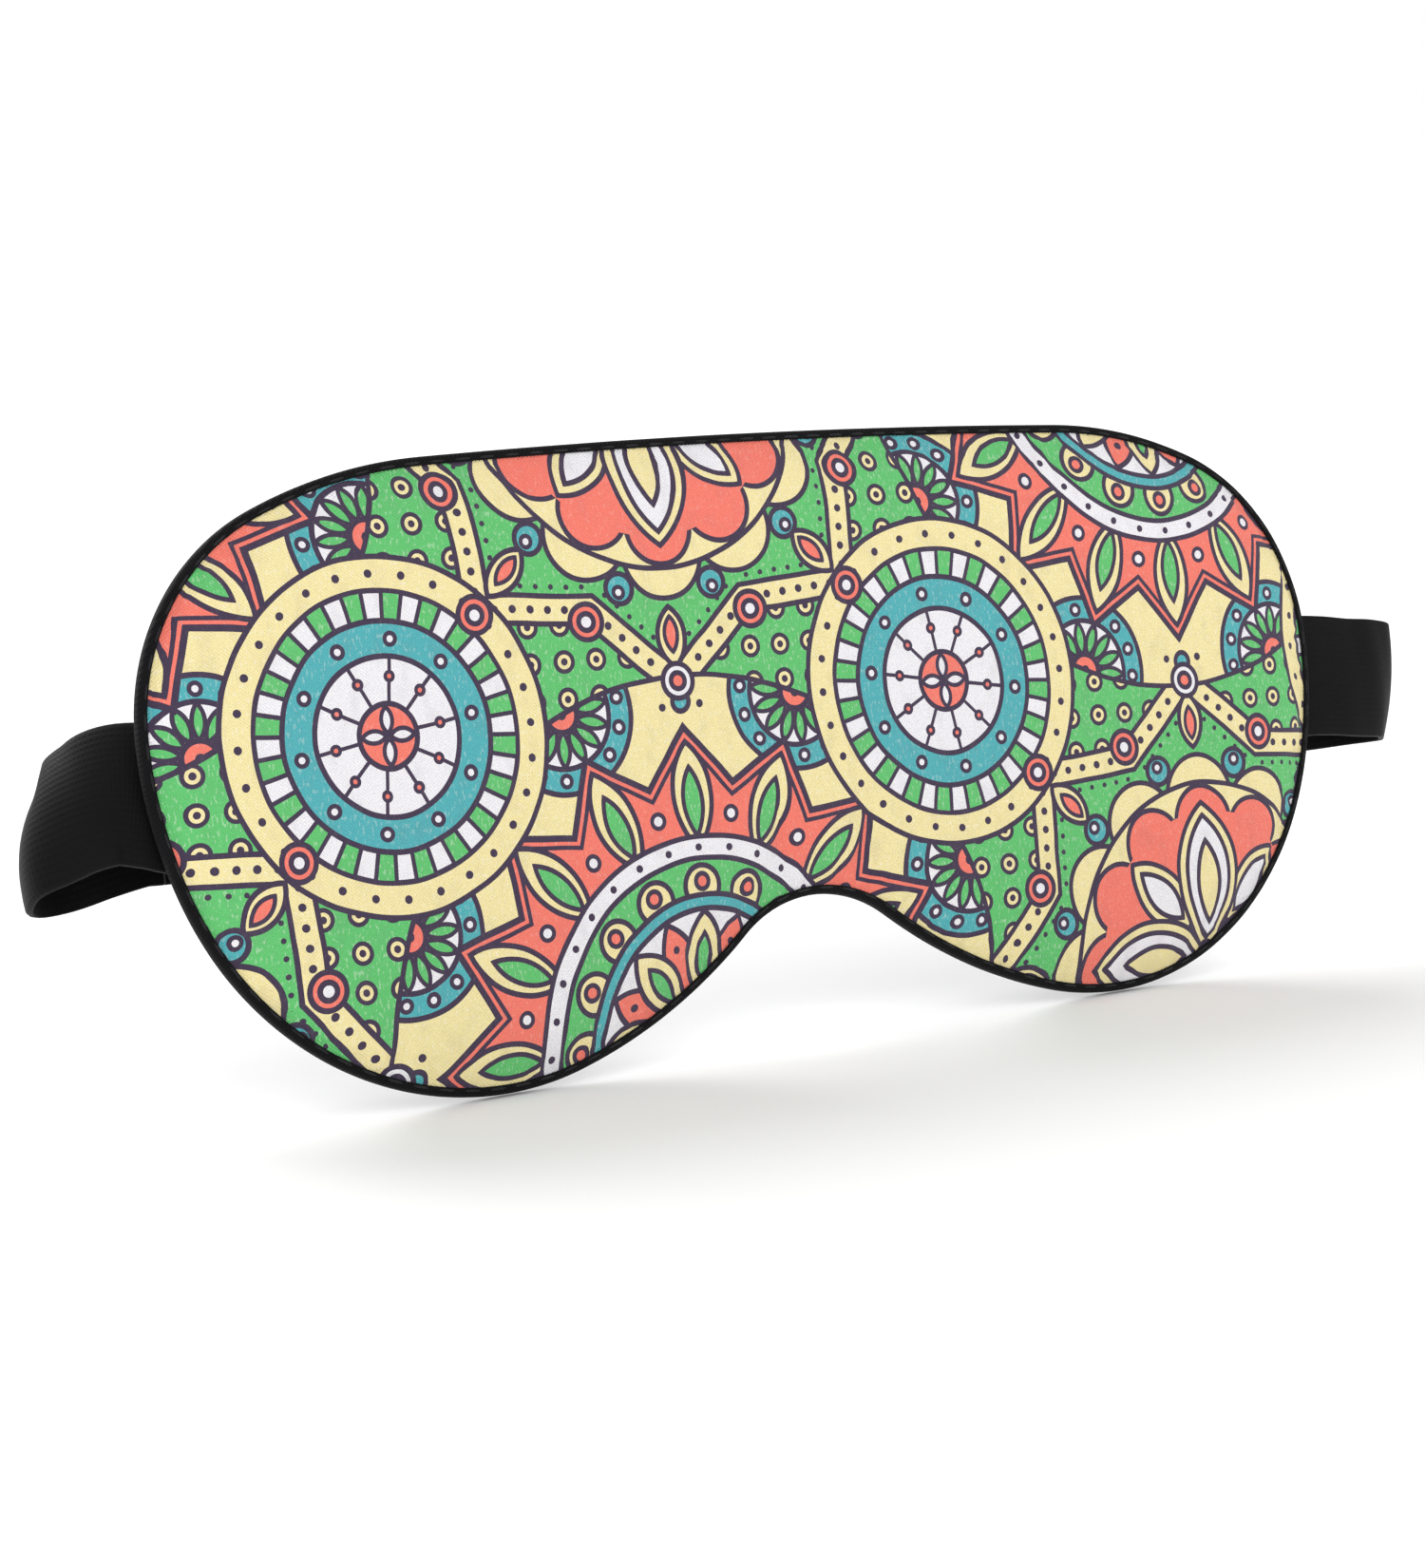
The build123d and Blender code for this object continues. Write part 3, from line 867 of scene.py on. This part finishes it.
def straight(x1, z1, x2, z2, step=1.6):
    count = max(2, ceil(sqrt((x2 - x1) ** 2 + (z2 - z1) ** 2) / step))
    return [(x1 + (x2 - x1) * i / count, z1 + (z2 - z1) * i / count) for i in range(count + 1)]


def arc(x, z, radius, start, end, count=12):
    """Arc about a point; angles in degrees from +x towards +z."""
    angles = [radians(start + (end - start) * i / count) for i in range(count + 1)]
    return [(x + radius * cos(a), z + radius * sin(a)) for a in angles]


def strap_line(*stretches, droop=lambda x: 0.0):
    """Path of a flat strap, each stretch a list of (x, z), as (x, y, z, tilt)."""
    line = []
    for x, z in (spot for stretch in stretches for spot in stretch):
        if not line or abs(line[-1][0] - x) + abs(line[-1][2] - z) > 1e-6:
            line.append((x, droop(x), z, 0.0))
    return np.array(line)


def webbing(name, line, cup=0.0):
    """Strap along a line, with rounded edges and closed ends. Its middle stands out
    from its edges by cup at the middle of the line, and not at all at the ends."""
    spots, tilts = line[:, :3], np.radians(line[:, 3])
    ahead = np.gradient(spots, axis=0)
    ahead /= np.linalg.norm(ahead, axis=1)[:, None]
    flat = np.array([0.0, 1.0, 0.0]) - ahead[:, 1:2] * ahead
    flat /= np.linalg.norm(flat, axis=1)[:, None]
    face = np.cross(ahead, flat)
    wide = flat * np.cos(tilts)[:, None] + face * np.sin(tilts)[:, None]
    out = np.cross(ahead, wide)
    half, thick, corner = STRAP_WIDTH / 2, STRAP_THICK / 2, 0.34
    across = np.linspace(-half + corner, half - corner, 15)
    upper = [(a, thick) for a in across]
    edge_x, edge_level = half - corner, thick - corner
    steps = (pi / 6, pi / 3)
    right = [(edge_x + corner * sin(a), edge_level + corner * cos(a)) for a in steps]
    right += [(half, edge_level), (half, -edge_level)]
    right += [(edge_x + corner * cos(a), -edge_level - corner * sin(a)) for a in steps]
    lower = [(-a, -b) for a, b in upper]
    left = [(-a, -b) for a, b in right]
    section = np.array(upper + right + lower + left)
    travelled = travel_along(spots)
    dish = 1 - (section[:, 0] / half) ** 2
    points = []
    mean_dish = 0.6
    for spot, side, lift, at in zip(spots, wide, out, travelled / travelled[-1]):
        level = section[:, 1] + cup * sin(pi * at) ** 2 * (dish - mean_dish)
        points.append(spot + np.outer(section[:, 0], side) + np.outer(level, lift))
    count, rows = len(section), len(spots)
    faces = []
    for row in range(0, (rows - 1) * count, count):
        for j in range(count):
            beside = (j + 1) % count
            faces.append((row + j, row + count + j, row + count + beside, row + beside))
    last_upper = len(upper) + len(right) // 2 - 1
    mirrored = 2 * last_upper + 1  # a point of the upper half and its mirror add up to this
    for j in range(last_upper - count // 2 + 2, last_upper + 1):
        end = [k % count for k in (j - 1, j, mirrored - j, mirrored - j + 1)]
        faces.append(tuple(end))
        faces.append(tuple((rows - 1) * count + k for k in reversed(end)))
    piece = new_mesh(name, place(np.concatenate(points)), faces, elastic)
    mesh = piece.data
    unrolled = mesh.uv_layers.new(name="strap")
    for loop in mesh.loops:
        row, column = divmod(loop.vertex_index, count)
        unrolled.data[loop.index].uv = (
            section[column, 0] / STRAP_WIDTH + 0.5,
            travelled[row] / STRAP_WIDTH,
        )
    end_rings = [set(range(count)), {(rows - 1) * count + j for j in range(count)}]
    for edge in mesh.edges:
        edge.use_edge_sharp = any(set(edge.vertices) <= ring for ring in end_rings)
    return piece


# Each loop from its seam, round, to where it joins the rear run or the tab: x, y, z
# in mm, and degrees that the strap is turned about its own length.
LEFT_END = (-94.0, -0.3)
LEFT_LOOP = [
    (-SEAM_X, 0.0, START_Z, 0),
    (-97.4, 0.6, 0.15, 4.5),
    (-101.4, 1.8, -0.5, 12),
    (-105.6, 2.5, -1.9, 20),
    (-109.8, 1.6, -4.2, 26),
    (-113.4, -0.5, -8.2, 26),
    (-112.9, -2.4, -12.9, 15),
    (-109.0, -2.4, -15.2, 7),
    (-103.5, -1.3, -15.5, 2),
    (-97.5, LEFT_END[1], REAR_Z, 0),
    (*LEFT_END, REAR_Z, 0),
]
RIGHT_END = (104.0, -0.9)
RIGHT_LOOP = [
    (SEAM_X, 0.0, START_Z, 0),
    (102.0, 1.0, 0.1, -1),
    (109.0, 0.7, 0.0, -2.5),
    (116.0, -0.1, -0.4, -3),
    (122.7, -0.7, -1.5, 1),
    (127.1, -1.5, -5.2, 13),
    (123.0, -1.3, -12.1, 7),
    (115.0, -1.3, -15.1, 3),
    (108.0, RIGHT_END[1], REAR_Z, 0),
    (*RIGHT_END, REAR_Z, 0),
]
DROOP_FROM = 80.0  # x, either side, beyond which the rear run and the tab ease down


def droop_to(end):
    """The strap's y at each x, down to the loop's end at (x, y)."""
    side, reach = np.sign(end[0]), abs(end[0]) - DROOP_FROM
    return lambda x: end[1] * float(smooth((x * side - DROOP_FROM) / reach))


for name, keys, cup, node in (
    ("strap_left_bend", LEFT_LOOP, -2.6, "strap_left_loop"),
    ("tab_right_bend", RIGHT_LOOP, 0.9, "tab_right_loop"),
):
    loop = webbing(name, spline(keys, 72), cup)
    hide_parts(node)
    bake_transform(loop)

rear_run = webbing(
    "strap_behind_head",
    strap_line(
        straight(LEFT_END[0], REAR_Z, RING_LEFT_X, REAR_Z),
        arc(RING_LEFT_X, RING_Z, RING_FOLD, -90, 90),
        droop=droop_to(LEFT_END),
    ),
)
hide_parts("strap_rear_run")
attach(rear_run, "rear_strap")

returning = webbing(
    "strap_returning",
    strap_line(straight(RING_LEFT_X, RETURN_Z, SLIDER_X + END_LENGTH, RETURN_Z, 1.0)),
)
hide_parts("strap_return")
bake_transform(returning)

end_left = SLIDER_X - CENTRE_BAR / 2 + WRAP_RADIUS / 2
far_level = RETURN_Z - 2 * WRAP_RADIUS
sewn_level = RETURN_Z - STRAP_THICK - FOLD_GAP
end_right = SLIDER_X + END_LENGTH
sewn_end = webbing(
    "strap_sewn_end",
    strap_line(
        straight(end_right, RETURN_Z, end_left, RETURN_Z, 0.8),
        arc(end_left, RETURN_Z - WRAP_RADIUS, WRAP_RADIUS, 90, 270),
        straight(end_left, far_level, SLIDER_X + CENTRE_BAR, far_level, 0.8),
        straight(SLIDER_X + CENTRE_BAR, far_level, SLIDER_X + 2 * CENTRE_BAR, sewn_level, 0.8),
        straight(SLIDER_X + 2 * CENTRE_BAR, sewn_level, end_right, sewn_level, 0.8),
    ),
)
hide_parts("strap_end")
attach(sewn_end, "slider")

tab_flat = RING_RIGHT_X + RING_BAR
tab_ramp = tab_flat + 2 * RING_BAR
tab_sewn = REAR_Z + STRAP_THICK + FOLD_GAP
tab = webbing(
    "tab_sewn_end",
    strap_line(
        straight(RIGHT_END[0], REAR_Z, RING_RIGHT_X, REAR_Z),
        arc(RING_RIGHT_X, RING_Z, RING_FOLD, 270, 90),
        straight(RING_RIGHT_X, RETURN_Z, tab_flat, RETURN_Z, 0.8),
        straight(tab_flat, RETURN_Z, tab_ramp, tab_sewn, 0.8),
        straight(tab_ramp, tab_sewn, RING_RIGHT_X + TAB_END_LENGTH, tab_sewn, 0.8),
        droop=droop_to(RIGHT_END),
    ),
)
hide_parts("tab_end")
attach(tab, "rear_strap")

# ------------------------------------------------------------- ring and slider
for node in ("adjuster_ring", "adjuster_slider"):
    nodes[node].data.materials.clear()
    nodes[node].data.materials.append(acetal)


# ---------------------------------------------------------------------- stage
FLOOR_REACH, FLOOR_GAP, WORLD_LIGHT = 6.0, 0.0002, 0.68
LENS, SENSOR = 84.0, 36.0  # mm
CAMERA_AT, CAMERA_AIM = (-0.2750, -0.4022, 0.0813), (0.5379, 0.8240, -0.1781)


def stage():
    """White room: a pale floor just under the mask, even light, a white backdrop."""
    floor_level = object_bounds()[0].z - FLOOR_GAP
    mesh = bpy.data.meshes.new("floor")
    reach = FLOOR_REACH
    corners = [(-reach, -reach), (reach, -reach), (reach, reach), (-reach, reach)]
    mesh.from_pydata([(x, y, floor_level) for x, y in corners], [], [(0, 1, 2, 3)])
    material, _, shader = new_material("pale_floor", 0.9, specular=0.0)
    shader.inputs["Base Color"].default_value = (0.93, 0.93, 0.93, 1)
    mesh.materials.append(material)
    floor = bpy.data.objects.new("floor", mesh)
    bpy.context.scene.collection.objects.link(floor)
    floor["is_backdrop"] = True
    world = bpy.data.worlds.new("studio")
    world.use_nodes = True
    tree = world.node_tree
    lighting = tree.nodes["Background"]
    lighting.inputs[1].default_value = WORLD_LIGHT
    backdrop = tree.nodes.new("ShaderNodeBackground")
    for background in (lighting, backdrop):
        background.inputs[0].default_value = (1, 1, 1, 1)
    choice, path = tree.nodes.new("ShaderNodeMixShader"), tree.nodes.new("ShaderNodeLightPath")
    tree.links.new(path.outputs["Is Camera Ray"], choice.inputs[0])
    tree.links.new(lighting.outputs[0], choice.inputs[1])
    tree.links.new(backdrop.outputs[0], choice.inputs[2])
    tree.links.new(choice.outputs[0], tree.nodes["World Output"].inputs[0])
    bpy.context.scene.world = world


def soft_light(name, come_from, spread, strength):
    """Even light from one direction, as soft as its spread in degrees."""
    data = bpy.data.lights.new(name, "SUN")
    data.energy, data.angle = strength, radians(spread)
    lamp = bpy.data.objects.new(name, data)
    lamp.rotation_euler = (-Vector(come_from)).to_track_quat("-Z", "Y").to_euler()
    bpy.context.scene.collection.objects.link(lamp)


def camera():
    data = bpy.data.cameras.new("camera")
    data.sensor_fit = "HORIZONTAL"
    data.sensor_width, data.lens = SENSOR, LENS
    data.clip_start, data.clip_end = 0.01, 50
    view = bpy.data.objects.new("camera", data)
    forward = Vector(CAMERA_AIM).normalized()
    right = forward.cross(Vector((0, 0, 1))).normalized()
    up = right.cross(forward)
    turned = Matrix((right, up, -forward)).transposed().to_4x4()
    view.matrix_world = Matrix.Translation(CAMERA_AT) @ turned
    bpy.context.scene.collection.objects.link(view)
    bpy.context.scene.camera = view


stage()
soft_light("back_key", (-0.2, 1.15, 1.0), 46, 2.7)
soft_light("front_fill", (-0.5, -1.0, 0.7), 80, 1.1)
camera()
bpy.context.scene.view_settings.view_transform = "Standard"
